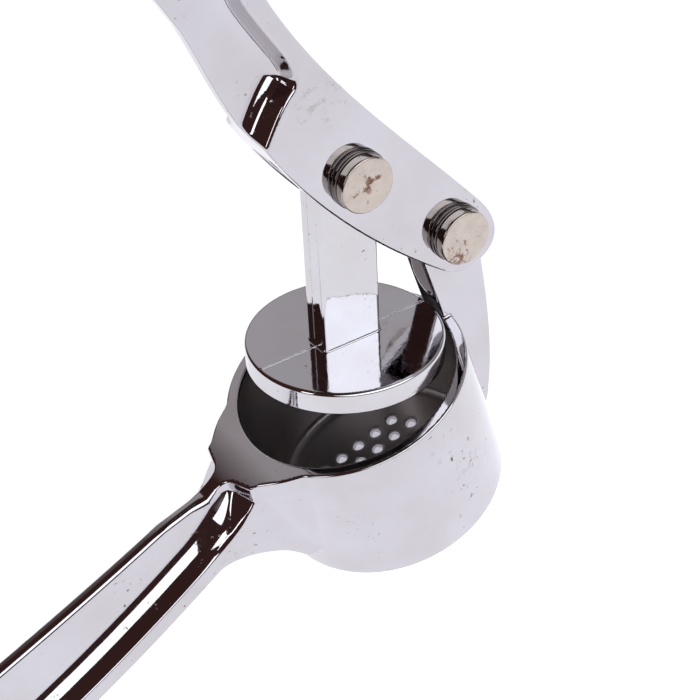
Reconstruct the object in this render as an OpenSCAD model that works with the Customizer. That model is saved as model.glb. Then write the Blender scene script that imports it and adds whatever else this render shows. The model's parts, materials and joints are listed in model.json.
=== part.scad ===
// Garlic press in cast metal: two handled arms on a hinge pin, a round
// plunger hanging on a second pin, and a cup with a perforated floor.
// Z runs up the axis of the cup, and Y runs along the pins.

/* [Cup] */
// Height of the cup, floor included
cup_h = 25; // [20:0.5:32]
// Outer radius of the cup at the rim
cup_r = 19.2; // [18.5:0.1:21]
// How much narrower the cup is at its base
cup_draft = 0.6; // [0:0.1:1]
// Radius of the bore at the rim
bore_r = 17.2; // [17:0.1:17.4]
// How much narrower the bore is at the floor
bore_draft = 0.3; // [0:0.1:0.4]
// Depth of the bore below the rim
bore_depth = 22; // [18:0.5:22.5]
// Corner radius between the bore and the floor
floor_round = 1.6; // [0.8:0.1:2]
// Diameter of the holes in the floor
hole_d = 1.9; // [1.2:0.1:2.4]
// Distance between neighbouring holes
hole_pitch = 3.5; // [3.5:0.1:4.5]
// Radius of the field of holes
hole_field_r = 10.6; // [8:0.1:13]

/* [Hinge] */
// Distance of the hinge pin from the axis of the cup
hinge_x = 23.1; // [23:0.1:24]
// Height of the hinge pin above the rim
hinge_rise = 16.2; // [15.5:0.1:17]
// Distance between the hinge pin and the plunger pin
pin_reach = 22.6; // [22:0.1:24]
// Thickness of the ear that carries the hinge pin
ear_t = 5.4; // [4:0.1:5.6]
// Diameter of both pins
pin_d = 4.2; // [3:0.1:4.6]
// Diameter of the heads of the pins
head_d = 8.6; // [8:0.1:10]
// Thickness of the heads of the pins
head_t = 1.8; // [1:0.1:2.4]
// Diameter of the washers
washer_d = 9; // [8.5:0.1:10.4]
// Thickness of the washers
washer_t = 0.9; // [0.5:0.1:1.4]

/* [Arms] */
// Width of the fork and of the handles
arm_w = 10.8; // [10:0.1:12]
// Width of the slot in the fork
slot_w = 6; // [5.8:0.1:6.2]
// Thickness of the outer wall that closes the slot
slot_wall = 2.6; // [2:0.1:3]
// Thickness of the web along each handle
web_t = 2.5; // [1.8:0.1:3.2]
// Thickness of the flange along each handle
flange_t = 2.9; // [2:0.1:3.4]
// Length of each handle beyond its waist
handle_len = 100; // [70:1:120]
// Radius of the inward bend of each handle
handle_bend_r = 330; // [250:10:600]
// Depth of each handle at its waist
waist_depth = 10.8; // [10:0.1:12]
// How much deeper each handle is halfway along
handle_swell = 4.4; // [0:0.1:6]

/* [Plunger] */
// Diameter of the plunger disc
disc_d = 30.2; // [29:0.1:30.4]
// Thickness of the plunger disc
disc_t = 3.7; // [3:0.1:4.5]
// Distance from the plunger pin to the top of the disc
stem_len = 29.5; // [28.5:0.1:30]
// Width of the plunger stem
stem_w = 10.2; // [8:0.1:11]
// Thickness of the plunger stem
stem_t = 4.8; // [4:0.1:5.2]

/* [Pose] */
// Angle of the line from the hinge pin to the plunger pin, from +X
reach_angle = 120.4; // [120:0.1:121]
// Lean of the plunger towards the hinge
plunger_lean = 17.6; // [17:0.1:18]

/* [Hidden] */
$fn = 96;

// Radial clearances of the pins: running in the ear and the stem, tight in the cheeks
run_gap = 0.05;
tight_gap = 0.01;
// Depth by which one solid runs into another of the same casting
bite = 1;
edge_round = 0.7;
rim_bevel = 0.3;
curve_steps = 10;

hinge_z = cup_h + hinge_rise;
floor_z = cup_h - bore_depth;
cheek_y = arm_w / 2;
// The arm's own frame lies along this angle, and the plunger pin is off its axis
arm_angle = 110;
// Face of the ear towards the cup: the radius of its round end follows from it
ear_front = bore_r + rim_bevel + 0.1;
ear_r = hinge_x - ear_front;
waist_half = waist_depth / 2;
disc_chamfer = 0.4;

// Waist of the upper arm, along and across the arm from the hinge pin
upper_waist = [57, -0.1];
upper_heading = 12;
// Waist of the lower arm, from the axis of the cup and from its base
lower_waist = [-33, cup_h - 6.4];
lower_heading = 12.5;

function cubic(p, t) =
    pow(1 - t, 3) * p[0] + 3 * t * pow(1 - t, 2) * p[1]
    + 3 * t * t * (1 - t) * p[2] + pow(t, 3) * p[3];

// Points along a cubic curve, without its first point
function curve(p, steps = curve_steps) = [for (i = [1:steps]) cubic(p, i / steps)];

// A flat outline in X and Z, made into a plate centred on the plane of symmetry
module plate(width) {
    rotate([90, 0, 0])
        linear_extrude(width, center = true)
            children();
}

// A bar along Y through the origin
module pin_bar(r, length) {
    rotate([90, 0, 0])
        cylinder(r = r, h = length, center = true);
}

// ---- Handles: a flange along the outside and a thin web inside it ----

handle_bend = handle_len / handle_bend_r * 180 / PI;
handle_steps = 20;
tip_start = 0.92;
// The web of each head laps into its handle, and its edge covers the corner of the waist
web_lap = 6;
web_cover = 0.08;

// Place on the centre line of the handle, a share of its length along
function along(s) = handle_bend_r * [sin(handle_bend * s), cos(handle_bend * s) - 1];
function across(s) = [sin(handle_bend * s), cos(handle_bend * s)];
function tip_taper(s) = s < tip_start ? 1 : sqrt(1 - pow((s - tip_start) / (1 - tip_start), 2));
function half_depth(s) = (waist_half + handle_swell / 2 * sin(180 * s)) * tip_taper(s);

// Shares of the length at which the outline has a point, closer together at the tip
handle_stations = [
    for (i = [0:handle_steps]) tip_start * i / handle_steps,
    for (i = [1:6]) tip_start + (1 - tip_start) * sin(15 * i)
];

function outer_edge(s) = along(s) + half_depth(s) * across(s);
function inner_edge(s) = along(s) - half_depth(s) * across(s);
function flange_edge(s) = along(s) + max(half_depth(s) - flange_t, -half_depth(s)) * across(s);

module handle_web() {
    n = len(handle_stations);
    polygon(concat(
        [for (s = handle_stations) outer_edge(s)],
        [for (i = [n - 2:-1:0]) inner_edge(handle_stations[i])]
    ));
}

module handle_flange() {
    n = len(handle_stations);
    polygon(concat(
        [for (s = handle_stations) outer_edge(s)],
        [for (i = [n - 2:-1:0]) flange_edge(handle_stations[i])]
    ));
}

// Handle along +X from its waist, with its outer side up
module handle() {
    intersection() {
        union() {
            plate(web_t)
                handle_web();
            plate(arm_w)
                handle_flange();
        }
        handle_plan();
    }
}

// Outline of the handle from above, with a half round tip
module handle_plan() {
    tip_trim = 0.3;
    tip_x = along(1)[0] - cheek_y - tip_trim;
    linear_extrude(handle_len, center = true)
        union() {
            translate([-bite, -cheek_y])
                square([tip_x + bite, arm_w]);
            translate([tip_x, 0])
                circle(r = cheek_y);
        }
}

// ---- Upper arm, drawn along +X from the hinge pin with its outer side up ----

nose = [-8.5, 0.8];
nose_top = [-1, 5.9];
nose_foot = [-3.4, -5.6];
inner_corner = [38.5, -9.4];
recess_bend = [41.2, -1.2];
recess_end = [45.5, 1.1];
web_root = [36, -9.8];
web_top = [36, 0];
web_belly = [46, -8.6];

// Point a distance along the handle from its waist, and a distance towards its outer side
function upper_point(a, out) =
    upper_waist + a * [cos(upper_heading), sin(upper_heading)]
    + out * [-sin(upper_heading), cos(upper_heading)];

upper_out = upper_point(0, waist_half);
upper_flange_in = upper_point(0, waist_half - flange_t);

back_curve = [nose_top, [18, 5], [38, 1.6], upper_out];
recess_curve = [recess_end, [43, 0.6], [41.8, 0.2], recess_bend];
belly_curve = [inner_corner, [22, -11.8], [6, -8.4], nose_foot];
chin_curve = [nose_foot, [-6.2, -4.9], [-8.5, -2.6], nose];
brow_curve = [nose, [-8.5, 4.2], [-5.5, 5.9], nose_top];

module upper_head_outline() {
    polygon(concat(
        [nose],
        curve(brow_curve, 8),
        curve(back_curve, 16),
        [upper_flange_in, [50, 1.95]],
        [recess_end],
        curve(recess_curve, 6),
        [inner_corner],
        curve(belly_curve, 14),
        curve(chin_curve, 6)
    ));
}

module upper_web_outline() {
    polygon([
        web_root, web_top,
        upper_point(web_lap, waist_half - flange_t),
        upper_point(web_lap, -waist_half - web_cover),
        upper_point(-web_cover, -waist_half - web_cover),
        web_belly
    ]);
}

// Slot between the cheeks: open below and round the nose, closed along the back
module slot_outline() {
    slot_end = 33;
    wall_start = 9;
    back = 5.9 - slot_wall;
    far = 20;
    polygon([
        [-far, far], [wall_start, far], [wall_start, back],
        [slot_end - 4, 4 - slot_wall], [slot_end, -1.5], [slot_end + 1, -far], [-far, -far]
    ]);
}

module at_upper_arm() {
    translate([hinge_x, 0, hinge_z])
        rotate([0, 180 - arm_angle, 0])
            mirror([1, 0, 0])
                children();
}

module at_plunger_pin() {
    translate([
        hinge_x + pin_reach * cos(reach_angle), 0, hinge_z + pin_reach * sin(reach_angle)
    ])
        children();
}

module at_hinge_pin() {
    translate([hinge_x, 0, hinge_z])
        children();
}

module upper_arm() {
    color([0.80, 0.79, 0.82])
        difference() {
            at_upper_arm()
                union() {
                    difference() {
                        plate(arm_w)
                            upper_head_outline();
                        plate(slot_w)
                            slot_outline();
                    }
                    plate(web_t)
                        upper_web_outline();
                    translate([upper_waist[0], 0, upper_waist[1]])
                        rotate([0, -upper_heading, 0])
                            handle();
                }
            at_hinge_pin()
                pin_bar(pin_d / 2 + tight_gap, 2 * arm_w);
            at_plunger_pin()
                pin_bar(pin_d / 2 + tight_gap, 2 * arm_w);
        }
}

// ---- Lower arm: cup, neck, handle and hinge ear in one casting ----

// Where the top of the neck ends, how far it steps down there, and where the
// underside of the neck meets the cup, measured from the rim
neck_end = -22.5;
neck_step = 3;
neck_foot = 19.6;
neck_root = -10;
neck_web_foot = 12;

// Point a distance along the handle from its waist, and a distance towards its outer side
function lower_point(a, out) =
    lower_waist - a * [cos(lower_heading), sin(lower_heading)]
    + out * [sin(lower_heading), -cos(lower_heading)];

lower_out = lower_point(0, waist_half);

function from_rim(x, drop) = [x, cup_h - drop];

throat_curve = [
    lower_out, from_rim(-28.5, 11.4), from_rim(-23, 13.5), from_rim(-19.3, neck_foot)
];
ledge_curve = [
    from_rim(neck_end - 0.4, neck_step), from_rim(-26, 5.6), from_rim(-30, 7.4), from_rim(-36, 10)
];

module neck_outline() {
    polygon(concat(
        [from_rim(neck_root, 0), from_rim(neck_end, 0)],
        [ledge_curve[0]],
        curve(ledge_curve),
        [lower_point(bite, waist_half - bite), lower_out],
        curve(throat_curve),
        [from_rim(neck_root, neck_foot)]
    ));
}

module neck_web_outline() {
    polygon([
        from_rim(neck_end + bite, 0.6),
        lower_point(-web_cover, -waist_half - web_cover),
        lower_point(web_lap, -waist_half - web_cover),
        lower_point(web_lap, waist_half - flange_t),
        from_rim(neck_end + bite, neck_web_foot)
    ]);
}

// Outline of the neck from above, flaring into the cup
module neck_plan() {
    end_w = 6.4;
    flare = [[neck_end, end_w], [-20, 6.9], [-17.5, 7.6], [-14.5, 11]];
    side = concat([[-40, cheek_y], [-33, cheek_y], [neck_end, end_w]], curve(flare));
    n = len(side);
    linear_extrude(4 * cup_h, center = true)
        polygon(concat(side, [for (i = [n - 1:-1:0]) [side[i][0], -side[i][1]]]));
}

module cup_body() {
    r_base = cup_r - cup_draft;
    rotate_extrude()
        polygon(concat(
            [[0, 0], [r_base - edge_round, 0]],
            [for (a = [15:15:90]) [
                r_base - edge_round + edge_round * sin(a), edge_round - edge_round * cos(a)
            ]],
            [for (a = [0:15:90]) [
                cup_r - edge_round + edge_round * cos(a), cup_h - edge_round + edge_round * sin(a)
            ]],
            [[0, cup_h]]
        ));
}

module cup_bore() {
    r_floor = bore_r - bore_draft;
    rotate_extrude()
        polygon(concat(
            [[0, floor_z]],
            [for (a = [0:15:90]) [
                r_floor - floor_round + floor_round * sin(a),
                floor_z + floor_round - floor_round * cos(a)
            ]],
            [[bore_r, cup_h - rim_bevel], [bore_r + rim_bevel, cup_h]],
            [[bore_r + rim_bevel, cup_h + bite], [0, cup_h + bite]]
        ));
}

// Holes in rows on either side of the middle plane, every other row shifted by half a pitch
module floor_holes() {
    row_step = hole_pitch * sin(60);
    rows = ceil(hole_field_r / row_step);
    columns = ceil(hole_field_r / hole_pitch);
    for (row = [-rows:rows - 1])
        for (column = [-columns:columns]) {
            x = (column + (abs(row) % 2) / 2) * hole_pitch;
            y = (row + 0.5) * row_step;
            if (norm([x, y]) < hole_field_r)
                translate([x, y, -bite])
                    cylinder(d = hole_d, h = floor_z + 2 * bite, $fn = 24);
        }
}

// The back of the ear leaves its round end smoothly and runs into the cup near the base
ear_foot = 1.2;
ear_back_angle = 9;
ear_back_curve = [
    [hinge_x + ear_r * cos(ear_back_angle), hinge_z - ear_r * sin(ear_back_angle)],
    [hinge_x + 3.6, cup_h + 3],
    [hinge_x + 1.6, cup_h - 14],
    [cup_r - 0.9, ear_foot]
];

module ear_outline() {
    union() {
        translate([hinge_x, hinge_z])
            circle(r = ear_r);
        polygon(concat(
            [[hinge_x, hinge_z], ear_back_curve[0]],
            curve(ear_back_curve),
            [[ear_front, ear_foot], [ear_front, hinge_z]]
        ));
    }
}

module lower_arm() {
    color([0.82, 0.80, 0.82])
        difference() {
            union() {
                cup_body();
                intersection() {
                    plate(2 * cup_r)
                        neck_outline();
                    neck_plan();
                }
                plate(web_t)
                    neck_web_outline();
                translate([lower_waist[0], 0, lower_waist[1]])
                    rotate([0, -lower_heading, 0])
                        mirror([1, 0, 0])
                            mirror([0, 0, 1])
                                handle();
                plate(ear_t)
                    ear_outline();
            }
            cup_bore();
            floor_holes();
            at_hinge_pin()
                pin_bar(pin_d / 2 + run_gap, 2 * ear_t);
        }
}

// ---- Plunger, drawn hanging straight down from its pin ----

module disc() {
    r = disc_d / 2;
    rotate_extrude()
        polygon([
            [0, 0], [r - disc_chamfer, 0], [r, disc_chamfer],
            [r, disc_t - disc_chamfer], [r - disc_chamfer, disc_t], [0, disc_t]
        ]);
}

module stem_outline() {
    union() {
        circle(r = stem_w / 2);
        translate([-stem_w / 2, -stem_len - bite])
            square([stem_w, stem_len + bite]);
    }
}

module plunger() {
    color([0.74, 0.73, 0.75])
        at_plunger_pin()
            rotate([0, plunger_lean, 0])
                difference() {
                    union() {
                        plate(stem_t)
                            stem_outline();
                        translate([0, 0, -stem_len - disc_t])
                            disc();
                    }
                    pin_bar(pin_d / 2 + run_gap, 2 * stem_t);
                }
}

// ---- Pins, the same for the hinge and the plunger ----

washer_y = cheek_y + washer_t;

module head_disc(outer_r, thick) {
    edge = 0.3;
    rotate([90, 0, 0])
        rotate_extrude()
            polygon([
                [0, 0], [outer_r, 0], [outer_r, thick - edge], [outer_r - edge, thick], [0, thick]
            ]);
}

// Shaft with its head on the near side, -Y
module pin() {
    color([0.78, 0.73, 0.69])
        union() {
            pin_bar(pin_d / 2, 2 * washer_y);
            translate([0, -washer_y, 0])
                head_disc(head_d / 2, head_t);
        }
}

// Head on the far side, pressed over the end of the shaft
module cap() {
    color([0.78, 0.73, 0.69])
        translate([0, washer_y, 0])
            mirror([0, 1, 0])
                head_disc(head_d / 2, head_t);
}

// side is -1 for the near cheek and 1 for the far one
module washer(side) {
    color([0.70, 0.69, 0.71])
        translate([0, side * (cheek_y + washer_t / 2), 0])
            difference() {
                pin_bar(washer_d / 2, washer_t);
                pin_bar(pin_d / 2 + tight_gap, 2 * washer_t);
            }
}

lower_arm();
upper_arm();
plunger();
at_hinge_pin() pin();  // hinge_pin
at_hinge_pin() cap();  // hinge_cap
at_hinge_pin() washer(-1);  // hinge_washer_near
at_hinge_pin() washer(1);  // hinge_washer_far
at_plunger_pin() pin();  // plunger_pin
at_plunger_pin() cap();  // plunger_cap
at_plunger_pin() washer(-1);  // plunger_washer_near
at_plunger_pin() washer(1);  // plunger_washer_far
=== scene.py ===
"""A garlic press in chrome-plated castings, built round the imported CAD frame.

The castings are solid shapes with soft edges and fillets, each worked out as a signed distance
and then meshed. The pins, caps and washers are turned profiles. Lengths are in millimetres, in the
CAD frame or along a casting's own axes, and become metres when a mesh is made.
"""

import json
import math

import bmesh
import bpy
import numpy as np
from mathutils import Matrix, Vector


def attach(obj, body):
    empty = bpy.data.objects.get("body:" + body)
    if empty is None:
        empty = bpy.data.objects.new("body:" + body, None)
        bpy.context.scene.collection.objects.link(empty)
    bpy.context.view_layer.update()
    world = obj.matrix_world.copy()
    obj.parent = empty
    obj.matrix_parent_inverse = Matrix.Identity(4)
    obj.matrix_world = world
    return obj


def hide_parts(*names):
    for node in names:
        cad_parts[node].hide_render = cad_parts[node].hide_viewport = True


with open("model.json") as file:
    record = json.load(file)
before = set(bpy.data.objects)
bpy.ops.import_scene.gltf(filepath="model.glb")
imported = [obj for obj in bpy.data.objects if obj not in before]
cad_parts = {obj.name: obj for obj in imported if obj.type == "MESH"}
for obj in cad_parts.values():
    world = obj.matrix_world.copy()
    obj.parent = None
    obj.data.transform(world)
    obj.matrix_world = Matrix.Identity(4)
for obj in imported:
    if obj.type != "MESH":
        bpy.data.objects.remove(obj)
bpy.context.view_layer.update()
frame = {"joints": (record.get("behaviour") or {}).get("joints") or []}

MM = 0.001
GRID = 0.3

# ---- Driving dimensions, from the frame where it has them ----

joints = {j["name"]: j for j in frame["joints"]}
HINGE = np.array(joints["press"]["pos_m"]) / MM
PLUNGER_PIN = np.array(joints["plunger_swing"]["pos_m"]) / MM
CUP_H = 25.0
CUP_R = 19.2
CUP_R_BASE = 18.6
BORE_R = 17.2
BORE_R_FLOOR = 16.9
FLOOR = 3.0
PIN_R = 2.1
CHEEK_Y = 5.4
WEB_HALF = 1.25
EAR_HALF = 2.7
PIN_FIT = 0.05
ARM_ANGLE = math.radians(110)


# ---- Signed distances ----

def cubic(points, steps):
    """Points along a cubic curve, both ends included."""
    t = np.linspace(0, 1, steps + 1)[:, None]
    a, b, c, d = (np.array(p, float) for p in points)
    return (1 - t) ** 3 * a + 3 * t * (1 - t) ** 2 * b + 3 * t * t * (1 - t) * c + t ** 3 * d


def curve(start, pulls, end, steps):
    """A cubic curve without its first point, which the outline before it ends with."""
    return cubic([start, *pulls, end], steps)[1:]


def common(a, b, r):
    """The overlap of two solids, with its edge rounded to radius r."""
    outside = np.hypot(np.maximum(a + r, 0), np.maximum(b + r, 0))
    return np.minimum(-r, np.maximum(a, b)) + outside


def joined(a, b, r):
    """Two solids as one, with a fillet of radius r between them."""
    inside = np.hypot(np.maximum(r - a, 0), np.maximum(r - b, 0))
    return np.maximum(r, np.minimum(a, b)) - inside


def without(a, b, r):
    """Solid a with b taken away, and the edge rounded."""
    return common(a, -b, r)


def ease(low, high, x):
    t = np.clip((x - low) / (high - low), 0, 1)
    return t * t * (3 - 2 * t)


def pin_bore(a, b):
    """A bore for either pin, from the two distances across it."""
    return np.hypot(a, b) - PIN_R - PIN_FIT


class Outline:
    """Signed distance to a closed outline, negative inside, read from a fine grid of samples."""

    def __init__(self, points, margin=9.0, step=0.25):
        p = np.asarray(points, float)
        self.step = step
        self.low = p.min(0) - margin
        size = np.ceil((p.max(0) + margin - self.low) / step).astype(int) + 1
        a = self.low[0] + step * np.arange(size[0])[:, None]
        b = self.low[1] + step * np.arange(size[1])[None, :]
        nearest = np.full(size, 1e9)
        inside = np.zeros(size, bool)
        for (a0, b0), (a1, b1) in zip(p, np.roll(p, -1, axis=0)):
            da, db = a1 - a0, b1 - b0
            length = da * da + db * db
            if length < 1e-12:
                continue
            t = np.clip(((a - a0) * da + (b - b0) * db) / length, 0, 1)
            np.minimum(nearest, (a - a0 - t * da) ** 2 + (b - b0 - t * db) ** 2, out=nearest)
            if b0 != b1:
                crosses = (b0 > b) != (b1 > b)
                inside ^= crosses & (a < a0 + (b - b0) / db * da)
        self.samples = np.sqrt(nearest) * np.where(inside, -1, 1)

    def __call__(self, a, b):
        """Smooth (Catmull-Rom) reading of the samples at any points."""
        a, b = np.broadcast_arrays(a, b)
        n = self.samples.shape
        u = np.clip((a - self.low[0]) / self.step, 1, n[0] - 2.001)
        v = np.clip((b - self.low[1]) / self.step, 1, n[1] - 2.001)
        i, j = u.astype(int), v.astype(int)
        wa, wb = catmull_rom(u - i), catmull_rom(v - j)
        total = 0
        for k in range(4):
            row = sum(wb[m] * self.samples[i + k - 1, j + m - 1] for m in range(4))
            total = total + wa[k] * row
        return total


def catmull_rom(t):
    """The weights of four samples in a row, at a share t of the way from the second to the third."""
    return (
        ((-0.5 * t + 1) * t - 0.5) * t,
        (1.5 * t - 2.5) * t * t + 1,
        ((-1.5 * t + 2) * t + 0.5) * t,
        (0.5 * t - 0.5) * t * t,
    )


# ---- From a distance to a mesh ----

CORNERS = np.array([[i, j, k] for i in (0, 1) for j in (0, 1) for k in (0, 1)])
PAIRS = [(p, q) for p in range(8) for q in range(p + 1, 8)]
EDGES = [(p, q) for p, q in PAIRS if abs(CORNERS[p] - CORNERS[q]).sum() == 1]
NEWTON_STEPS = 4
FLATTEST = 0.05


def gradient(field, p, reach=0.06):
    """The field's slope at each point, from samples a little to either side."""
    columns = []
    for axis in range(3):
        step = np.zeros(3)
        step[axis] = reach
        columns.append(field(*(p + step).T) - field(*(p - step).T))
    return np.stack(columns, 1) / (2 * reach)


def surface_points(values, low, step):
    """One point in each grid cell that the surface crosses, and each cell's number."""
    inside = values < 0
    nx, ny, nz = (n - 1 for n in values.shape)
    count = sum(inside[i:i + nx, j:j + ny, k:k + nz].astype(np.uint8) for i, j, k in CORNERS)
    active = (count > 0) & (count < 8)
    number = np.full(active.shape, -1, np.int32)
    number[active] = np.arange(active.sum())
    cells = np.argwhere(active)
    at = np.stack([values[tuple((cells + c).T)] for c in CORNERS], 1)
    total, hits = np.zeros((len(cells), 3)), np.zeros(len(cells))
    for p, q in EDGES:
        cut = (at[:, p] < 0) != (at[:, q] < 0)
        share = at[cut, p] / (at[cut, p] - at[cut, q])
        total[cut] += CORNERS[p] + share[:, None] * (CORNERS[q] - CORNERS[p])
        hits[cut] += 1
    return low + step * (cells + total / hits[:, None]), number


def surface_quads(inside, number):
    """One quad for each grid edge that crosses the surface, facing outwards."""
    quads = []
    for axis in range(3):
        planes = np.moveaxis(inside, axis, 0)
        cells = np.moveaxis(number, axis, 0)
        here, there = planes[:-1, 1:-1, 1:-1], planes[1:, 1:-1, 1:-1]
        for mask, order in ((here & ~there, (0, 1, 2, 3)), (~here & there, (3, 2, 1, 0))):
            i, j, k = np.nonzero(mask)
            around = (cells[i, j, k], cells[i, j + 1, k], cells[i, j + 1, k + 1], cells[i, j, k + 1])
            flip = order if axis != 1 else order[::-1]
            quads.append(np.stack([around[m] for m in flip], 1))
    return np.concatenate(quads)


def settled(field, points, step):
    """The points moved onto the surface itself, by a few Newton steps."""
    for _ in range(NEWTON_STEPS):
        slope = gradient(field, points)
        away = field(*points.T) / np.maximum((slope ** 2).sum(1), FLATTEST)
        points = points - np.clip(away, -step / 2, step / 2)[:, None] * slope
    return points


def shown(name, mesh):
    """A smooth-shaded object for a mesh, in the scene."""
    mesh.polygons.foreach_set("use_smooth", np.ones(len(mesh.polygons), bool))
    piece = bpy.data.objects.new(name, mesh)
    bpy.context.scene.collection.objects.link(piece)
    return piece


def solid(name, field, box, step, placed):
    """Mesh of the surface where the field is zero, with normals taken from the field."""
    low, high = np.array(box, float)
    axes = [np.arange(low[i], high[i] + step, step) for i in range(3)]
    grid = field(axes[0][:, None, None], axes[1][None, :, None], axes[2][None, None, :])
    grid = np.broadcast_to(grid, [len(a) for a in axes]).astype(np.float32)
    points, number = surface_points(grid, low, step)
    quads = surface_quads(grid < 0, number)
    points = settled(field, points, step)
    normals = gradient(field, points)
    normals /= np.maximum(np.linalg.norm(normals, axis=1), 1e-9)[:, None]
    points = points @ placed[:3, :3].T + placed[:3, 3]
    normals = normals @ placed[:3, :3].T
    if np.linalg.det(placed) < 0:
        quads = quads[:, ::-1]
    mesh = bpy.data.meshes.new(name)
    mesh.from_pydata(points * MM, [], quads.tolist())
    piece = shown(name, mesh)
    mesh.normals_split_custom_set_from_vertices(normals.tolist())
    return piece


# ---- Handles: a flange along the outside, and a thin web inside it ----

HANDLE_LEN = 100.0
BEND_R = 330.0
WAIST_HALF = 5.4
SWELL = 2.2
TIP_START = 0.92
TIP_TRIM = 0.3
POCKET_PAST = 6.0
FLANGE_T = 2.9
HANDLE_BEND = HANDLE_LEN / BEND_R
LOWER_WAIST = np.array([-33.0, CUP_H - 6.4])
LOWER_HEADING = math.radians(12.5)
UPPER_WAIST = np.array([57.0, -0.1])
UPPER_HEADING = math.radians(12)
STATIONS = np.concatenate([
    np.linspace(0, TIP_START, 90, endpoint=False),
    TIP_START + (1 - TIP_START) * np.sin(np.linspace(0, math.pi / 2, 24)),
])


def handle_rows():
    """The outer edge, the flange's inner edge and the web's inner edge, each as (along, out)."""
    s = STATIONS
    middle = BEND_R * np.stack([np.sin(HANDLE_BEND * s), np.cos(HANDLE_BEND * s) - 1], 1)
    across = np.stack([np.sin(HANDLE_BEND * s), np.cos(HANDLE_BEND * s)], 1)
    tip = np.clip((s - TIP_START) / (1 - TIP_START), 0, 1)
    half = ((WAIST_HALF + SWELL * np.sin(math.pi * s)) * np.sqrt(1 - tip ** 2))[:, None]
    return (
        middle + half * across,
        middle + np.maximum(half - FLANGE_T, -half) * across,
        middle - half * across,
    )


def placed_rows(waist, along, out):
    """The same rows, placed from the handle's waist along its heading."""
    return [waist + rows[:, :1] * along + rows[:, 1:] * out for rows in handle_rows()]


def beyond(points, towards, distance):
    """The same points moved a distance, to close a pocket outside the solid."""
    return points + distance * np.array(towards)


def from_waist(a, b, waist, along):
    """How far points lie along a handle, from its waist."""
    return (a - waist[0]) * along[0] + (b - waist[1]) * along[1]


def tip_plan(along, y, half):
    """Signed distance to a handle's outline from above: straight sides, and a round tip."""
    tip_centre = handle_rows()[0][-1, 0] - TIP_TRIM - CHEEK_Y
    return np.hypot(np.maximum(along - tip_centre, 0), y) - half


# ---- Upper arm, along its own axes from the hinge pin, its outer side up ----

U_ALONG = np.array([math.cos(UPPER_HEADING), math.sin(UPPER_HEADING)])
U_OUT = np.array([-math.sin(UPPER_HEADING), math.cos(UPPER_HEADING)])
UPPER_BOX = [-10, -6.6, -32], [158, 6.6, 14]

# Corners of the outlines, and the pulls that bend the curves which end at them
NOSE, NOSE_TOP, NOSE_FOOT = [-8.5, 0.8], [-1, 5.9], [-3.4, -5.6]
NOSE_TOP_PULLS = [-8.5, 4.2], [-5.5, 5.9]
NOSE_FOOT_PULLS = [-6.2, -4.9], [-8.5, -2.6]
BACK_PULLS = [18, 5], [38, 1.6]
INNER_CORNER = [38.5, -9.7]
INNER_CORNER_PULLS = [52, -6.7], [44.5, -9.3]
BELLY_PULLS = [22, -11.8], [6, -8.4]
RECESS_END, RECESS_BEND, RECESS_FOOT = [45.5, 1.1], [41.2, -1.2], [37.4, -11.8]
RECESS_END_PULLS = [53.6, 1.7], [49.5, 1.5]
RECESS_BEND_PULLS = [43, 0.6], [41.8, 0.2]
RECESS_FOOT_PULLS = [40.8, -4.8], [39.2, -7.6]
BELOW_RECESS = [36.6, -14.5]
SLOT = [[-20, 20], [9, 20], [9, 3.3], [29, 1.4], [33, -1.5], [34, -20], [-20, -20]]

# Slopes and roundings: an edge or a lip is rounded outwards, and a fillet inwards
UPPER_DRAFT, RECESS_FILLET, RECESS_LIP = 0.32, 1.8, 0.45
SLOT_HALF, SLOT_FILLET, SLOT_LIP = 3.0, 0.8, 0.4
UPPER_EDGE, CHEEK_BORE_LIP = 0.5, 0.1


def upper_silhouette(outer, inner):
    return Outline(np.concatenate([
        [NOSE],
        curve(NOSE, NOSE_TOP_PULLS, NOSE_TOP, 20),
        curve(NOSE_TOP, BACK_PULLS, outer[0], 60),
        outer[1:],
        inner[::-1],
        curve(inner[0], INNER_CORNER_PULLS, INNER_CORNER, 20),
        curve(INNER_CORNER, BELLY_PULLS, NOSE_FOOT, 60),
        curve(NOSE_FOOT, NOSE_FOOT_PULLS, NOSE, 20)[:-1],
    ]))


def upper_pocket(flange, inner):
    """The recess beside the web, open on the handle's inner side."""
    return Outline(np.concatenate([
        flange[::-1],
        curve(flange[0], RECESS_END_PULLS, RECESS_END, 12),
        curve(RECESS_END, RECESS_BEND_PULLS, RECESS_BEND, 16),
        curve(RECESS_BEND, RECESS_FOOT_PULLS, RECESS_FOOT, 16),
        [BELOW_RECESS],
        beyond(inner, -U_OUT, POCKET_PAST),
    ]))


def upper_axes():
    """The arm's own two axes, along it and outwards, as (x, z) in the CAD frame."""
    along = [math.cos(ARM_ANGLE), math.sin(ARM_ANGLE)]
    return np.array(along), np.array([along[1], -along[0]])


def upper_arm_field():
    outer, flange, inner = placed_rows(UPPER_WAIST, U_ALONG, U_OUT)
    silhouette, pocket, slot = upper_silhouette(outer, inner), upper_pocket(flange, inner), Outline(SLOT)
    along, out = upper_axes()
    pin = (PLUNGER_PIN - HINGE)[[0, 2]]

    def field(a, y, b):
        side = tip_plan(from_waist(a, b, UPPER_WAIST, U_ALONG), y, CHEEK_Y)
        whole = common(silhouette(a, b), side, UPPER_EDGE)
        draft = UPPER_DRAFT * (CHEEK_Y - np.abs(y))
        recess = common(pocket(a, b) + draft, WEB_HALF - np.abs(y), RECESS_FILLET)
        whole = without(whole, recess, RECESS_LIP)
        whole = without(whole, common(slot(a, b), np.abs(y) - SLOT_HALF, SLOT_FILLET), SLOT_LIP)
        whole = without(whole, pin_bore(a, b), CHEEK_BORE_LIP)
        return without(whole, pin_bore(a - pin @ along, b - pin @ out), CHEEK_BORE_LIP)

    return field


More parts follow.
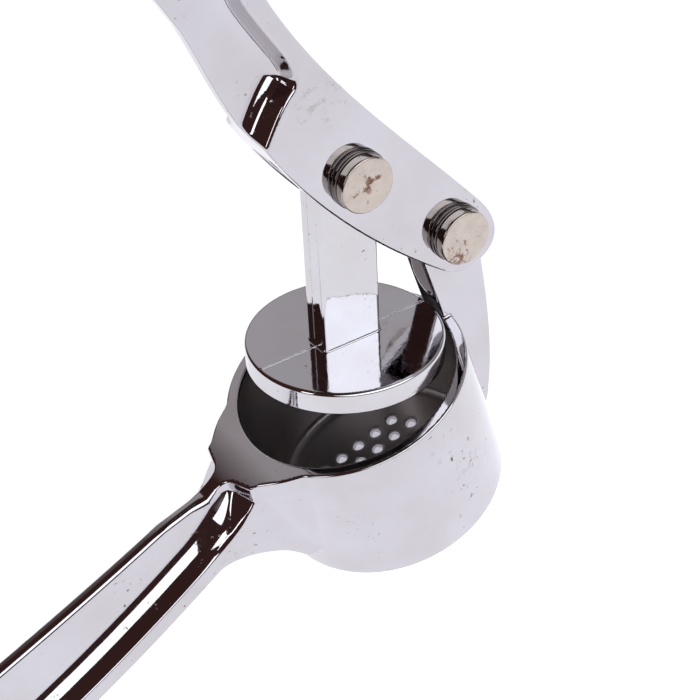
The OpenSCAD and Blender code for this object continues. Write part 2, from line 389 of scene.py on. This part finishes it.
def upper_place():
    """From the arm's own axes to the CAD frame."""
    along, out = upper_axes()
    m = np.eye(4)
    m[:3, 0] = [along[0], 0, along[1]]
    m[:3, 2] = [out[0], 0, out[1]]
    m[:3, 3] = HINGE
    return m


def upper_arm():
    return solid("upper_arm_casting", upper_arm_field(), UPPER_BOX, GRID, upper_place())


# ---- Lower arm: cup, neck, handle and hinge ear ----

L_ALONG = np.array([-math.cos(LOWER_HEADING), -math.sin(LOWER_HEADING)])
L_OUT = np.array([math.sin(LOWER_HEADING), -math.cos(LOWER_HEADING)])
LOWER_BOX = [-134, -20.4, -1], [30.5, 20.4, 48]
BASE_EDGE, RIM_EDGE, NECK_EDGE = 0.7, 0.4, 0.45

# The neck from the side and from above, and the facet beside it
NECK_END, NECK_ROOT, NECK_FOOT = -22.5, -10.0, CUP_H - 19.6
NECK_SWELL, ROOT_SWELL, ROOT_X = 1.0, 0.9, -18
ABOVE_RIM = CUP_H + 8
NECK_TOP = [NECK_END, CUP_H + 0.1]
NECK_TOP_PULLS = [-26, CUP_H], [-30, CUP_H - 0.4]
NECK_BELLY_PULLS = [-28.5, 13.6], [-23, 11.5]
NECK_BELLY_END = [-19.3, NECK_FOOT]
DROOP, DROOP_X, DROOP_REACH = 0.35, -18, 5
FLARE, FLARE_FOOT, FLARE_H = 3.6, 4, 18
NECK_FILLET, FACET_FILLET = 0.3, 0.25

# The handle's recess
LEDGE_START = [NECK_END - 0.4, CUP_H - 3]
LEDGE_PULLS = [-25.5, 19.6], [-30.2, 16.75]
LEDGE_JOIN = 3
LOWER_DRAFT = 0.3
COVE_R, COVE_SWELL, COVE_SHRINK = 3.6, 0.8, 2.8
COVE_START, COVE_WIDEST, COVE_END = -36, -29, -24
LIP_R, FLANGE_LIP_SWELL, FLANGE_LIP_SHRINK, WEB_LIP_SWELL = 0.35, 0.45, 0.4, 0.75
LIP_START, LIP_WIDEST, WEB_LIP_START = -38, -26, -30
LIP_SPLIT = 2.6

# The ear, the bore and the floor's holes
EAR_FRONT = BORE_R + 0.4
EAR_TURN = math.radians(9)
EAR_BACK_PULLS = [HINGE[0] + 3.6, CUP_H + 3], [HINGE[0] + 1.6, CUP_H - 14]
EAR_FOOT = [CUP_R - 0.9, 1.2]
EAR_EDGE, EAR_FILLET, EAR_BORE_LIP = 0.5, 0.5, 0.15
FLOOR_FILLET, BORE_LIP, BORE_PAST, BORE_TOP_EDGE = 1.6, 0.4, 0.8, 0.1
HOLE_R, HOLE_PITCH, HOLE_FIELD_R = 0.95, 3.5, 10.6
HOLE_PAST, HOLE_LIP = 1.2, 0.25


def lower_silhouette(outer, inner):
    return Outline(np.concatenate([
        [[NECK_ROOT, ABOVE_RIM], [NECK_END, ABOVE_RIM], NECK_TOP],
        curve(NECK_TOP, NECK_TOP_PULLS, inner[0], 16),
        inner[1:],
        outer[::-1],
        curve(outer[0], NECK_BELLY_PULLS, NECK_BELLY_END, 40),
        [[NECK_ROOT, NECK_FOOT]],
    ]))


def lower_pocket(flange, inner):
    """The recess beside the web, open on the handle's inner side, with a ledge at the neck."""
    return Outline(np.concatenate([
        [[NECK_END, ABOVE_RIM], [NECK_END, CUP_H], LEDGE_START],
        curve(LEDGE_START, LEDGE_PULLS, flange[LEDGE_JOIN], 24),
        flange[LEDGE_JOIN + 1:],
        beyond(inner[::-1], -L_OUT, POCKET_PAST),
    ]))


def ear_outline():
    """The ear from the side: round about the hinge pin, with a bowed back."""
    r = HINGE[0] - EAR_FRONT
    angles = np.linspace(math.pi, -EAR_TURN, 60)
    top = [[HINGE[0] + r * math.cos(a), HINGE[2] + r * math.sin(a)] for a in angles]
    start = [HINGE[0] + r * math.cos(EAR_TURN), HINGE[2] - r * math.sin(EAR_TURN)]
    back = curve(start, EAR_BACK_PULLS, EAR_FOOT, 50)
    return Outline(np.concatenate([top, back, [[EAR_FRONT, EAR_FOOT[1]]]]))


def hole_centres():
    """Staggered rows of holes, kept where they lie inside the floor."""
    row_step = HOLE_PITCH * math.sin(math.radians(60))
    rows, columns = math.ceil(HOLE_FIELD_R / row_step), math.ceil(HOLE_FIELD_R / HOLE_PITCH)
    centres = [
        ((column + row % 2 / 2) * HOLE_PITCH, (row + 0.5) * row_step)
        for row in range(-rows, rows)
        for column in range(-columns, columns + 1)
    ]
    return [c for c in centres if math.hypot(*c) < HOLE_FIELD_R]


def neck_half(x):
    """Half the width of the lower arm from above, wider at the neck."""
    swell = NECK_SWELL * ease(LOWER_WAIST[0], NECK_END, x)
    return CHEEK_Y + swell + ROOT_SWELL * ease(NECK_END, ROOT_X, x)


def cup_and_neck(cup, arm, z):
    """Both as one, with a flat facet between them that widens upwards."""
    flare = FLARE * np.clip((z - FLARE_FOOT) / FLARE_H, 0, 1)
    facet = (cup + arm - flare) * math.sqrt(0.5)
    return joined(joined(cup, arm, NECK_FILLET), facet, FACET_FILLET)


def below_rim(x, z):
    """Below the cup's rim, and a little lower along the neck."""
    droop = DROOP * np.clip((DROOP_X - x) / DROOP_REACH, 0, 2) ** 2
    return z - CUP_H + droop


def lower_recess(pocket, x, y, z):
    """The hollow inside the flange, with a cove that is widest near the neck."""
    draft = LOWER_DRAFT * (neck_half(x) - np.abs(y))
    swell = COVE_SWELL * ease(COVE_START, COVE_WIDEST, x)
    cove = COVE_R + swell - COVE_SHRINK * ease(COVE_WIDEST, COVE_END, x)
    return common(pocket(x, z) + draft, WEB_HALF - np.abs(y), cove)


def recess_lip(x, y):
    """The radius of the recess's edge: the flange's on the outside, the web's near the middle."""
    swell = FLANGE_LIP_SWELL * ease(LIP_START, LIP_WIDEST, x)
    flange_lip = LIP_R + swell - FLANGE_LIP_SHRINK * ease(LIP_WIDEST, COVE_END, x)
    web_lip = LIP_R + WEB_LIP_SWELL * ease(COVE_END, WEB_LIP_START, x)
    return np.where(np.abs(y) > LIP_SPLIT, flange_lip, web_lip)


def cup_bore(rho, z):
    """The room inside the cup, slightly narrower at its floor."""
    wall = rho - (BORE_R_FLOOR + (BORE_R - BORE_R_FLOOR) * (z / CUP_H))
    return common(common(wall, FLOOR - z, FLOOR_FILLET), z - CUP_H - BORE_PAST, BORE_TOP_EDGE)


def floor_holes(x, y, z):
    centres = hole_centres()
    away = np.hypot(x - centres[0][0], y - centres[0][1])
    for cx, cy in centres[1:]:
        away = np.minimum(away, np.hypot(x - cx, y - cy))
    return np.maximum(away - HOLE_R, z - FLOOR - HOLE_PAST)


def lower_arm_field():
    outer, flange, inner = placed_rows(LOWER_WAIST, L_ALONG, L_OUT)
    silhouette, pocket = lower_silhouette(outer, inner), lower_pocket(flange, inner)
    ear = ear_outline()

    def field(x, y, z):
        rho = np.hypot(x, y)
        cup = common(rho - (CUP_R_BASE + (CUP_R - CUP_R_BASE) * (z / CUP_H)), -z, BASE_EDGE)
        side = tip_plan(from_waist(x, z, LOWER_WAIST, L_ALONG), y, neck_half(x))
        arm = common(silhouette(x, z), side, NECK_EDGE)
        whole = common(cup_and_neck(cup, arm, z), below_rim(x, z), RIM_EDGE)
        whole = without(whole, lower_recess(pocket, x, y, z), recess_lip(x, y))
        whole = joined(whole, common(ear(x, z), np.abs(y) - EAR_HALF, EAR_EDGE), EAR_FILLET)
        whole = without(whole, cup_bore(rho, z), BORE_LIP)
        whole = without(whole, floor_holes(x, y, z), HOLE_LIP)
        return without(whole, pin_bore(x - HINGE[0], z - HINGE[2]), EAR_BORE_LIP)

    return field


def lower_arm():
    return solid("lower_arm_casting", lower_arm_field(), LOWER_BOX, GRID, np.eye(4))


# ---- Plunger, hanging from its pin along its own axes ----

STEM_HALF_X, STEM_HALF_Y, STEM_LEN = 5.1, 2.42, 29.5
STEM_EDGE, STEM_SUNK, STEM_FILLET, STEM_BORE_LIP = 0.75, 1, 0.25, 0.15
DISC_R, DISC_T = 15.1, 3.7
DISC_TOP_EDGE, DISC_BASE_EDGE = 0.55, 0.35
DISC_SEAM, DISC_SEAM_EDGE, DISC_SEAM_INSET, SEAM_FILLET = 0.18, 0.07, 0.3, 0.05
STEM_SEAM, STEM_SEAM_PROUD, STEM_SEAM_EDGE, STEM_SEAM_FILLET = 0.16, 0.12, 0.06, 0.1
PLUNGER_BOX = [-16, -16, -34.5], [16, 16, 6.5]
PLUNGER_FINER = 0.85
LEAN = math.radians(17.6)


def stem_ends(z):
    """Between the pin's axis and a little inside the disc."""
    return np.maximum(z, -STEM_LEN - STEM_SUNK - z)


def stem(x, y, z):
    """A flat bar with a round eye about the pin."""
    bar = np.maximum(np.abs(x) - STEM_HALF_X, stem_ends(z))
    return common(np.minimum(bar, np.hypot(x, z) - STEM_HALF_X), np.abs(y) - STEM_HALF_Y, STEM_EDGE)


def stem_seam(x, y, z):
    """The thin parting line down both narrow sides of the stem."""
    line = common(np.abs(y) - STEM_SEAM, np.abs(x) - STEM_HALF_X - STEM_SEAM_PROUD, STEM_SEAM_EDGE)
    return common(line, stem_ends(z), SEAM_FILLET)


def disc(x, y, z):
    """The disc, with the parting line across its top face."""
    rho = np.hypot(x, y)
    top, base = z + STEM_LEN, -z - STEM_LEN - DISC_T
    plate = common(common(rho - DISC_R, top, DISC_TOP_EDGE), base, DISC_BASE_EDGE)
    seam = common(np.abs(y) - DISC_SEAM, top - DISC_SEAM, DISC_SEAM_EDGE)
    seam = np.maximum(seam, np.maximum(rho - DISC_R + DISC_SEAM_INSET, base + DISC_T / 2))
    return joined(plate, seam, SEAM_FILLET)


def plunger_field(x, y, z):
    whole = joined(stem(x, y, z), disc(x, y, z), STEM_FILLET)
    whole = joined(whole, stem_seam(x, y, z), STEM_SEAM_FILLET)
    return without(whole, pin_bore(x, z), STEM_BORE_LIP)


def plunger_place():
    """From the plunger's own axes to the CAD frame."""
    m = np.eye(4)
    m[:3, 0] = [math.cos(LEAN), 0, -math.sin(LEAN)]
    m[:3, 2] = [math.sin(LEAN), 0, math.cos(LEAN)]
    m[:3, 3] = PLUNGER_PIN
    return m


def plunger():
    return solid("plunger_casting", plunger_field, PLUNGER_BOX, GRID * PLUNGER_FINER, plunger_place())


# ---- Pins, caps and washers ----

HEAD_R, HEAD_T = 4.3, 1.8
WASHER_R, WASHER_T, WASHER_EDGE = 4.5, 0.9, 0.3
WASHER_OUT = CHEEK_Y + WASHER_T
HEAD_FOOT_EDGE, HEAD_RIM_EDGE, HEAD_DOME = 0.22, 0.32, 0.02
HEAD_GROOVE, HEAD_GROOVE_FOOT, HEAD_GROOVE_H = 0.55, 0.5, 0.12
HEAD_FLAT = 0.9
WASHER_FIT = 0.02


def ring(bm, r, out, steps):
    """One ring of a turned profile, or a single vertex on the axis."""
    if r < 1e-6:
        return [bm.verts.new((0, out, 0))]
    angles = (2 * math.pi * i / steps for i in range(steps))
    return [bm.verts.new((r * math.cos(a), out, r * math.sin(a))) for a in angles]


def turned(name, profile, centre, side, steps=128):
    """A profile of (radius, distance from the middle plane), turned about a line along Y."""
    bm = bmesh.new()
    rings = [ring(bm, r, side * out, steps) for r, out in profile]
    for low, high in zip(rings, rings[1:]):
        for i in range(steps):
            j = i + 1
            corners = [low[i % len(low)], low[j % len(low)], high[j % len(high)], high[i % len(high)]]
            corners = list(dict.fromkeys(corners))
            if len(corners) > 2:
                bm.faces.new(corners)
    bmesh.ops.recalc_face_normals(bm, faces=bm.faces)
    bmesh.ops.scale(bm, vec=(MM, MM, MM), verts=bm.verts)
    bmesh.ops.translate(bm, vec=Vector(centre * MM), verts=bm.verts)
    mesh = bpy.data.meshes.new(name)
    bm.to_mesh(mesh)
    bm.free()
    return shown(name, mesh)


def arc(centre, r, start, end, steps=6):
    turns = np.radians(np.linspace(start, end, steps + 1))
    return [(centre[0] + r * math.cos(t), centre[1] + r * math.sin(t)) for t in turns]


def head_outside():
    """The groove's end under the head, the head's side and rim, and its slightly domed face."""
    foot, out = WASHER_OUT + HEAD_GROOVE_H, WASHER_OUT + HEAD_T
    return (
        [(HEAD_R - HEAD_GROOVE_FOOT, foot)]
        + arc((HEAD_R - HEAD_FOOT_EDGE, foot + HEAD_FOOT_EDGE), HEAD_FOOT_EDGE, -90, 0)
        + arc((HEAD_R - HEAD_RIM_EDGE, out - HEAD_RIM_EDGE), HEAD_RIM_EDGE, 0, 82)
        + [(HEAD_R - HEAD_FLAT, out), (HEAD_R * 0.6, out + HEAD_DOME / 2)]
        + [(HEAD_R * 0.3, out + HEAD_DOME * 0.75), (0, out + HEAD_DOME)]
    )


def cap_profile():
    """A separate head, closed by a flat back against the washer."""
    return [(0, WASHER_OUT), (HEAD_R - HEAD_GROOVE, WASHER_OUT)] + head_outside()


def pin_profile():
    """The shaft, from its hidden end to the near washer, and the head it carries."""
    return [(0, -WASHER_OUT), (PIN_R, -WASHER_OUT), (PIN_R, WASHER_OUT)] + head_outside()


def washer_profile():
    edge, hole = WASHER_EDGE, PIN_R + WASHER_FIT
    return (
        [(hole, CHEEK_Y), (WASHER_R - edge, CHEEK_Y)]
        + arc((WASHER_R - edge, CHEEK_Y + edge), edge, -90, 0)
        + arc((WASHER_R - edge, WASHER_OUT - edge), edge, 0, 90)
        + [(hole, WASHER_OUT), (hole, CHEEK_Y)]
    )


# ---- Materials ----

def new_material(name, base, metallic, roughness):
    m = bpy.data.materials.new(name)
    m.use_nodes = True
    nodes, links = m.node_tree.nodes, m.node_tree.links
    shader = nodes["Principled BSDF"]
    shader.inputs["Base Color"].default_value = (*base, 1)
    shader.inputs["Metallic"].default_value = metallic
    shader.inputs["Roughness"].default_value = roughness
    return m, nodes, links, shader


def noise(nodes, links, where, scale, detail, roughness=0.5, stretch=None):
    """A noise texture in object coordinates, in features per metre."""
    tex = nodes.new("ShaderNodeTexNoise")
    tex.inputs["Scale"].default_value = scale
    tex.inputs["Detail"].default_value = detail
    tex.inputs["Roughness"].default_value = roughness
    if stretch:
        mapping = nodes.new("ShaderNodeMapping")
        mapping.inputs["Scale"].default_value = stretch
        links.new(where.outputs["Object"], mapping.inputs["Vector"])
        links.new(mapping.outputs["Vector"], tex.inputs["Vector"])
    else:
        links.new(where.outputs["Object"], tex.inputs["Vector"])
    return tex


def ramp(nodes, links, source, stops):
    """A colour ramp; each stop is a position and a colour."""
    r = nodes.new("ShaderNodeValToRGB")
    while len(r.color_ramp.elements) < len(stops):
        r.color_ramp.elements.new(0.5)
    for element, (at, colour) in zip(r.color_ramp.elements, stops):
        element.position = at
        element.color = colour if len(colour) == 4 else (*colour, 1)
    links.new(source, r.inputs["Fac"])
    return r


def mix(nodes, links, kind, factor, a, b):
    """A colour mix, where each input is a socket or a plain value."""
    m = nodes.new("ShaderNodeMix")
    m.data_type = "RGBA"
    m.blend_type = kind
    for socket, value in ((m.inputs["Factor"], factor), (m.inputs["A"], a), (m.inputs["B"], b)):
        if hasattr(value, "is_linked"):
            links.new(value, socket)
        else:
            socket.default_value = value
    return m.outputs["Result"]


def grey(value):
    return (value, value, value, 1)


def math_node(nodes, links, operation, a, b=None):
    kind = "ShaderNodeVectorMath" if operation == "LENGTH" else "ShaderNodeMath"
    node = nodes.new(kind)
    node.operation = operation
    for socket, value in zip(node.inputs, (a, b)):
        if hasattr(value, "is_linked"):
            links.new(value, socket)
        elif value is not None:
            socket.default_value = value
    return node.outputs["Value"]


def split_axes(nodes, links, vector):
    split = nodes.new("ShaderNodeSeparateXYZ")
    links.new(vector, split.inputs["Vector"])
    return split.outputs["X"], split.outputs["Y"], split.outputs["Z"]


def flat_length(nodes, links, a, b):
    """The length of a flat vector made of two values."""
    flat = nodes.new("ShaderNodeCombineXYZ")
    links.new(a, flat.inputs["X"])
    links.new(b, flat.inputs["Y"])
    return math_node(nodes, links, "LENGTH", flat.outputs["Vector"])


def bump(nodes, links, height, distance, below=None):
    node = nodes.new("ShaderNodeBump")
    node.inputs["Distance"].default_value = distance
    links.new(height.outputs["Fac"], node.inputs["Height"])
    if below:
        links.new(below.outputs["Normal"], node.inputs["Normal"])
    return node


def bore_mask(nodes, links, where):
    """White inside the cup, black elsewhere."""
    x, y, z = split_axes(nodes, links, where.outputs["Object"])
    near_axis = math_node(nodes, links, "LESS_THAN", flat_length(nodes, links, x, y), (BORE_R + 0.15) * MM)
    high = math_node(nodes, links, "GREATER_THAN", z, (FLOOR - 0.3) * MM)
    low = math_node(nodes, links, "LESS_THAN", z, (CUP_H - 0.6) * MM)
    return math_node(nodes, links, "MULTIPLY", math_node(nodes, links, "MULTIPLY", near_axis, high), low)


def patchy_mask(nodes, links, fine, fine_stops, broad, broad_stops):
    """A fine mask, kept only where a broad one is bright."""
    detail = ramp(nodes, links, fine.outputs["Fac"], fine_stops)
    place = ramp(nodes, links, broad.outputs["Fac"], broad_stops)
    return mix(nodes, links, "MULTIPLY", 1.0, detail.outputs["Color"], place.outputs["Color"])


def speck_mask(nodes, links, where, level):
    fine, broad = noise(nodes, links, where, 900, 2, 0.6), noise(nodes, links, where, 60, 2)
    fine_stops = [(level, grey(0)), (level + 0.03, grey(1))]
    return patchy_mask(nodes, links, fine, fine_stops, broad, [(0.5, grey(0)), (0.66, grey(1))])


def scuff_mask(nodes, links, where):
    fine, broad = noise(nodes, links, where, 800, 6, 0.75), noise(nodes, links, where, 75, 1)
    fine_stops = [(0.54, grey(0)), (0.64, grey(0.4))]
    return patchy_mask(nodes, links, fine, fine_stops, broad, [(0.61, grey(0)), (0.70, grey(1))])


SCUFF_TONE, SPECK_TONE, SPECK_ROUGH = (0.26, 0.23, 0.22, 1), (0.16, 0.09, 0.06, 1), 0.6
# Painted shade inside the cup: a darker base colour there, with a rougher finish
BORE_PAINTED_SHADE, BORE_ROUGH = (0.44, 0.41, 0.41, 1), 0.3
TARNISH = (0.93, 0.9, 0.88)


def plating_colour(nodes, links, where, base, specks):
    """Faint tarnish in broad patches, grey scuffs, and brown specks over both."""
    blotch = noise(nodes, links, where, 90, 4)
    dull = tuple(c * t for c, t in zip(base, TARNISH))
    tone = ramp(nodes, links, blotch.outputs["Fac"], [(0.3, dull), (0.7, base)])
    scuffs = scuff_mask(nodes, links, where)
    worn = mix(nodes, links, "MIX", scuffs, tone.outputs["Color"], SCUFF_TONE)
    return mix(nodes, links, "MIX", specks, worn, SPECK_TONE)


def plating_roughness(nodes, links, where, low, high, specks):
    """Hairline polishing marks between two roughnesses, and rough specks."""
    hairs = noise(nodes, links, where, 1500, 2, 0.5, (1, 0.15, 1))
    marks = ramp(nodes, links, hairs.outputs["Fac"], [(0.35, grey(low)), (0.75, grey(high))])
    return mix(nodes, links, "MIX", specks, marks.outputs["Color"], grey(SPECK_ROUGH))


def chrome(name, base, low_rough, high_rough, wave, speck_level, grain=12, bore_shade=False):
    """Plating on a casting: a faint waviness, hairline polishing marks, scuffs and brown specks, and, if
    asked, painted shade and a rougher finish inside the cup.
    """
    m, nodes, links, shader = new_material(name, base, 1.0, low_rough)
    where = nodes.new("ShaderNodeTexCoord")
    specks = speck_mask(nodes, links, where, speck_level)
    colour = plating_colour(nodes, links, where, base, specks)
    rough = plating_roughness(nodes, links, where, low_rough, high_rough, specks)
    # Inside the cup the colour darkens as painted shade; the roughness rises too
    if bore_shade:
        inside = bore_mask(nodes, links, where)
        colour = mix(nodes, links, "MIX", inside, colour, BORE_PAINTED_SHADE)
        rough = mix(nodes, links, "MIX", inside, rough, grey(BORE_ROUGH))
    links.new(colour, shader.inputs["Base Color"])
    links.new(rough, shader.inputs["Roughness"])
    waves = bump(nodes, links, noise(nodes, links, where, 160, 2), wave)
    pits = bump(nodes, links, noise(nodes, links, where, 1100, 2), wave / grain, waves)
    links.new(pits.outputs["Normal"], shader.inputs["Normal"])
    return m


RUST_TONE, RUST_ROUGH = (0.20, 0.085, 0.045, 1), 0.75
RUST_FADE, RUST_LIMIT = 0.09, 2.2
# The side colour factor darkens the sides of pins, caps and washers as painted shade
FACE_ROUGH, SIDE_ROUGH, SIDE_PAINTED_SHADE = 0.34, 0.1, 0.62
PIN_GRAIN = 0.04 * MM


def rust_mask(nodes, links, where, centre, spot, spot_r):
    """Rust that gathers round one spot, given as (x, z) from the pin's centre."""
    flecks = noise(nodes, links, where, 900, 5, 0.7)
    x, _, z = split_axes(nodes, links, where.outputs["Object"])
    across = math_node(nodes, links, "SUBTRACT", x, (centre[0] + spot[0]) * MM)
    upward = math_node(nodes, links, "SUBTRACT", z, (centre[2] + spot[1]) * MM)
    near = math_node(nodes, links, "DIVIDE", flat_length(nodes, links, across, upward), spot_r * MM)
    fade = math_node(nodes, links, "MINIMUM", near, RUST_LIMIT)
    fade = math_node(nodes, links, "MULTIPLY", fade, RUST_FADE)
    level = math_node(nodes, links, "SUBTRACT", flecks.outputs["Fac"], fade)
    return ramp(nodes, links, level, [(0.42, grey(0)), (0.52, grey(0.85))]).outputs["Color"]


def face_mask(nodes, links, where):
    """White on the flat ends of a pin, black on its sides."""
    _, y, _ = split_axes(nodes, links, where.outputs["Normal"])
    flat_on = math_node(nodes, links, "ABSOLUTE", y)
    return ramp(nodes, links, flat_on, [(0.5, grey(0)), (0.9, grey(1))]).outputs["Color"]


def pin_metal(name, base, centre, spot, spot_r):
    """Worn nickel: a satin face with brown rust round one spot, and shinier sides with painted shade on
    them.
    """
    m, nodes, links, shader = new_material(name, base, 1.0, 0.3)
    where = nodes.new("ShaderNodeTexCoord")
    cloud = noise(nodes, links, where, 500, 5, 0.6)
    rusty = rust_mask(nodes, links, where, centre, spot, spot_r)
    face = face_mask(nodes, links, where)
    # Painted shade: the sides get a darker copy of the base colour
    dull, side = tuple(c * 0.86 for c in base), tuple(c * SIDE_PAINTED_SHADE for c in base)
    tone = ramp(nodes, links, cloud.outputs["Fac"], [(0.3, dull), (0.65, base)])
    colour = mix(nodes, links, "MIX", rusty, tone.outputs["Color"], RUST_TONE)
    colour = mix(nodes, links, "MIX", face, (*side, 1), colour)
    shine = mix(nodes, links, "MIX", face, grey(SIDE_ROUGH), grey(FACE_ROUGH))
    rough = mix(nodes, links, "MIX", rusty, shine, grey(RUST_ROUGH))
    links.new(colour, shader.inputs["Base Color"])
    links.new(rough, shader.inputs["Roughness"])
    links.new(bump(nodes, links, cloud, PIN_GRAIN).outputs["Normal"], shader.inputs["Normal"])
    return m


# ---- Studio ----

SENSOR, LENS = 36, 99.08
CAMERA_PLACE = (-0.06748, -0.19944, 0.22885)
CAMERA_RIGHT = (0.7761, -0.5609, -0.2881)
CAMERA_UP = (0.5828, 0.4636, 0.6675)
CAMERA_BACK = (-0.2408, -0.6859, 0.6867)
FLOOR_R = 0.9
PAPER, PAPER_ROUGH = (0.7, 0.7, 0.71), 0.9
GLOW_NEAR, GLOW_FAR = (0.60, 0.60, 0.64), (0.86, 0.865, 0.90)
LOOK_AT = (0, 0, 0.05)
ROOM = [
    (0.0, (0.03, 0.02, 0.02)),
    (0.12, (0.10, 0.08, 0.08)),
    (0.35, (0.50, 0.48, 0.50)),
    (0.62, (0.50, 0.48, 0.49)),
    (0.74, (0.42, 0.39, 0.39)),
    (0.85, (0.07, 0.04, 0.035)),
    (1.0, (0.015, 0.008, 0.006)),
]
DARK_SIDE, BACKDROP = (0.05, 0.022, 0.02, 1), (1.0, 1.0, 1.0, 1)


def add_camera():
    data = bpy.data.cameras.new("camera")
    data.sensor_width = SENSOR
    data.lens = LENS
    camera = bpy.data.objects.new("camera", data)
    turn = Matrix((CAMERA_RIGHT, CAMERA_UP, CAMERA_BACK)).transposed().to_4x4()
    camera.matrix_world = Matrix.Translation(CAMERA_PLACE) @ turn
    bpy.context.scene.collection.objects.link(camera)
    bpy.context.scene.camera = camera


def paper():
    """Pale paper that glows, a little more with distance."""
    m, nodes, links, shader = new_material("floor_paper", PAPER, 0.0, PAPER_ROUGH)
    where = nodes.new("ShaderNodeTexCoord")
    _, y, _ = split_axes(nodes, links, where.outputs["Object"])
    ahead = math_node(nodes, links, "ADD", y, 1.0)
    glow = ramp(nodes, links, ahead, [(0.68, GLOW_NEAR), (0.92, GLOW_FAR)])
    links.new(glow.outputs["Color"], shader.inputs["Emission Color"])
    shader.inputs["Emission Strength"].default_value = 1.0
    return m


def add_floor():
    bm = bmesh.new()
    bmesh.ops.create_circle(bm, cap_ends=True, segments=96, radius=FLOOR_R)
    mesh = bpy.data.meshes.new("floor")
    bm.to_mesh(mesh)
    bm.free()
    floor = bpy.data.objects.new("floor", mesh)
    mesh.materials.append(paper())
    bpy.context.scene.collection.objects.link(floor)


def add_light(name, place, size, power, colour=(1, 1, 1)):
    data = bpy.data.lights.new(name, "AREA")
    data.shape = "RECTANGLE"
    data.size, data.size_y = size
    data.energy = power
    data.color = colour
    light = bpy.data.objects.new(name, data)
    light.location = place
    aim = Vector(LOOK_AT) - Vector(place)
    light.rotation_euler = aim.to_track_quat("-Z", "Y").to_euler()
    bpy.context.scene.collection.objects.link(light)


def add_world():
    """A room that is bright part of the way up, and dark low down, overhead and on the left."""
    world = bpy.data.worlds.new("studio")
    world.use_nodes = True
    nodes, links = world.node_tree.nodes, world.node_tree.links
    background = nodes["Background"]
    where = nodes.new("ShaderNodeTexCoord")
    x, _, z = split_axes(nodes, links, where.outputs["Generated"])
    room = ramp(nodes, links, z, ROOM)
    across = math_node(nodes, links, "ADD", math_node(nodes, links, "MULTIPLY", x, 0.5), 0.5)
    side = ramp(nodes, links, across, [(0.43, grey(0)), (0.57, grey(1))])
    lit = mix(nodes, links, "MIX", side.outputs["Color"], DARK_SIDE, room.outputs["Color"])
    path = nodes.new("ShaderNodeLightPath")
    seen = mix(nodes, links, "MIX", path.outputs["Is Camera Ray"], lit, BACKDROP)
    links.new(seen, background.inputs["Color"])
    background.inputs["Strength"].default_value = 1.0
    bpy.context.scene.world = world


def add_studio():
    add_world()
    add_floor()
    add_light("key", (0.28, -1.2, 0.95), (2.5, 0.9), 15.5, (0.9, 0.96, 1.0))
    add_light("edge", (-1.12, -0.35, 0.85), (0.3, 0.6), 1.4)
    scene = bpy.context.scene
    scene.view_settings.view_transform = "Standard"
    scene.view_settings.look = "None"


# ---- The press ----

CHROME, PLUNGER_CHROME = (0.56, 0.55, 0.585), (0.60, 0.595, 0.625)
NICKEL, WASHER_TONE = (0.56, 0.49, 0.44), (0.20, 0.17, 0.16)
RUST = {"hinge": ((-2.4, -1.6), 1.6), "plunger": ((0.3, 0.4), 1.1)}
WASHER_RUST = (4, 4), 1.0


def clothe(piece, material, slot, body, *nodes):
    piece.data.materials.clear()
    piece.data.materials.append(material)
    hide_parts(*nodes)
    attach(piece, body)


def add_castings():
    polished = chrome("polished_chrome", CHROME, 0.03, 0.09, 0.02 * MM, 0.67)
    # The lower arm's chrome carries painted shade inside its cup
    bore_shade = chrome("bore_shaded_chrome", CHROME, 0.03, 0.09, 0.02 * MM, 0.67, bore_shade=True)
    rougher = chrome("plunger_chrome", PLUNGER_CHROME, 0.04, 0.12, 0.03 * MM, 0.70, grain=4)
    clothe(lower_arm(), bore_shade, "chrome_casting", "lower", "lower_arm")
    clothe(upper_arm(), polished, "chrome_casting", "upper", "upper_arm")
    clothe(plunger(), rougher, "plunger_casting", "plunger", "plunger")


def add_pin(which, centre):
    """One pin with its cap and its two washers."""
    nickel = pin_metal(f"{which}_nickel", NICKEL, centre, *RUST[which])
    washer_metal = pin_metal(f"{which}_washer_metal", WASHER_TONE, centre, *WASHER_RUST)
    pin = turned(f"{which}_pin_turned", pin_profile(), centre, -1)
    cap = turned(f"{which}_cap_turned", cap_profile(), centre, 1)
    clothe(pin, nickel, "pin_steel", "upper", f"{which}_pin")
    clothe(cap, nickel, "pin_steel", "upper", f"{which}_cap")
    for name, side in (("near", -1), ("far", 1)):
        washer = turned(f"{which}_washer_{name}_turned", washer_profile(), centre, side)
        clothe(washer, washer_metal, "washer_steel", "upper", f"{which}_washer_{name}")


add_camera()
add_studio()
add_castings()
add_pin("hinge", HINGE)
add_pin("plunger", PLUNGER_PIN)
